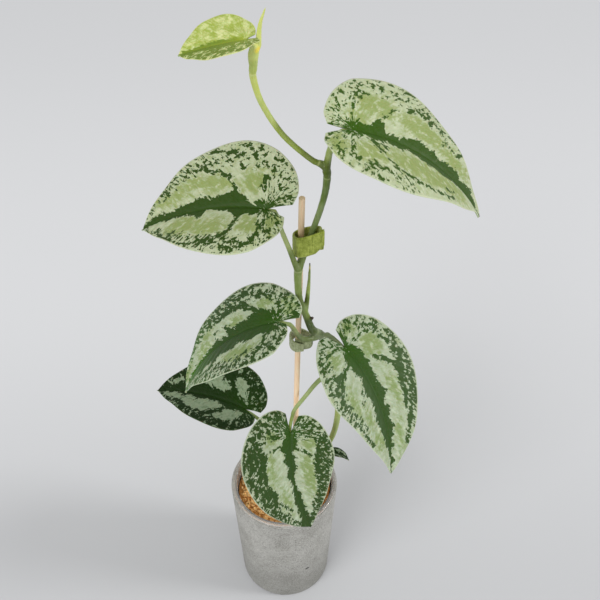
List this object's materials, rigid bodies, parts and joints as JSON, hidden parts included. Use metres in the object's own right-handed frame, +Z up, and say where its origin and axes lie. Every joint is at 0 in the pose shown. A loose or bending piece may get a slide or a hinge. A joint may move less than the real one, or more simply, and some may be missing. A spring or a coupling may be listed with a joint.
{
  "type": "potted houseplant",
  "caption": "Young climbing satin pothos with silver-splashed heart leaves, tied to a thin wooden stake in a speckled tapered pot with a clear liner.",
  "frame": {"origin": "middle of the pot's foot, on the floor", "axes": "+Z up along the pot's axis, -Y towards the side the plant is seen from, +X to that side's right"},
  "size_m": [0.1616, 0.0989, 0.4176],
  "materials": {
    "stoneware": "matt, speckled",
    "clear_liner": "clear gloss",
    "bark": "rough chips and fibre",
    "pale_wood": "raw, fine grain",
    "olive_tape": "fuzzy hook-and-loop",
    "grey_green_tape": "fuzzy hook-and-loop",
    "stem": "satin, living stem",
    "young_leaf": "satin, living leaf",
    "silver_leaf": "satin, living leaf",
    "banded_leaf": "satin, living leaf",
    "dark_leaf": "satin, living leaf"
  },
  "bodies": {
    "root": {"pot": "stoneware", "liner": "clear_liner", "substrate": "bark", "stake": "pale_wood", "tie_upper": "olive_tape", "tie_lower": "grey_green_tape", "vine": "stem", "leaf_1": "young_leaf", "leaf_2": "silver_leaf", "leaf_3": "silver_leaf", "leaf_4": "banded_leaf", "leaf_5": "banded_leaf", "leaf_6": "dark_leaf", "leaf_7": "banded_leaf", "leaf_8": "dark_leaf"}
  },
  "joints": []
}
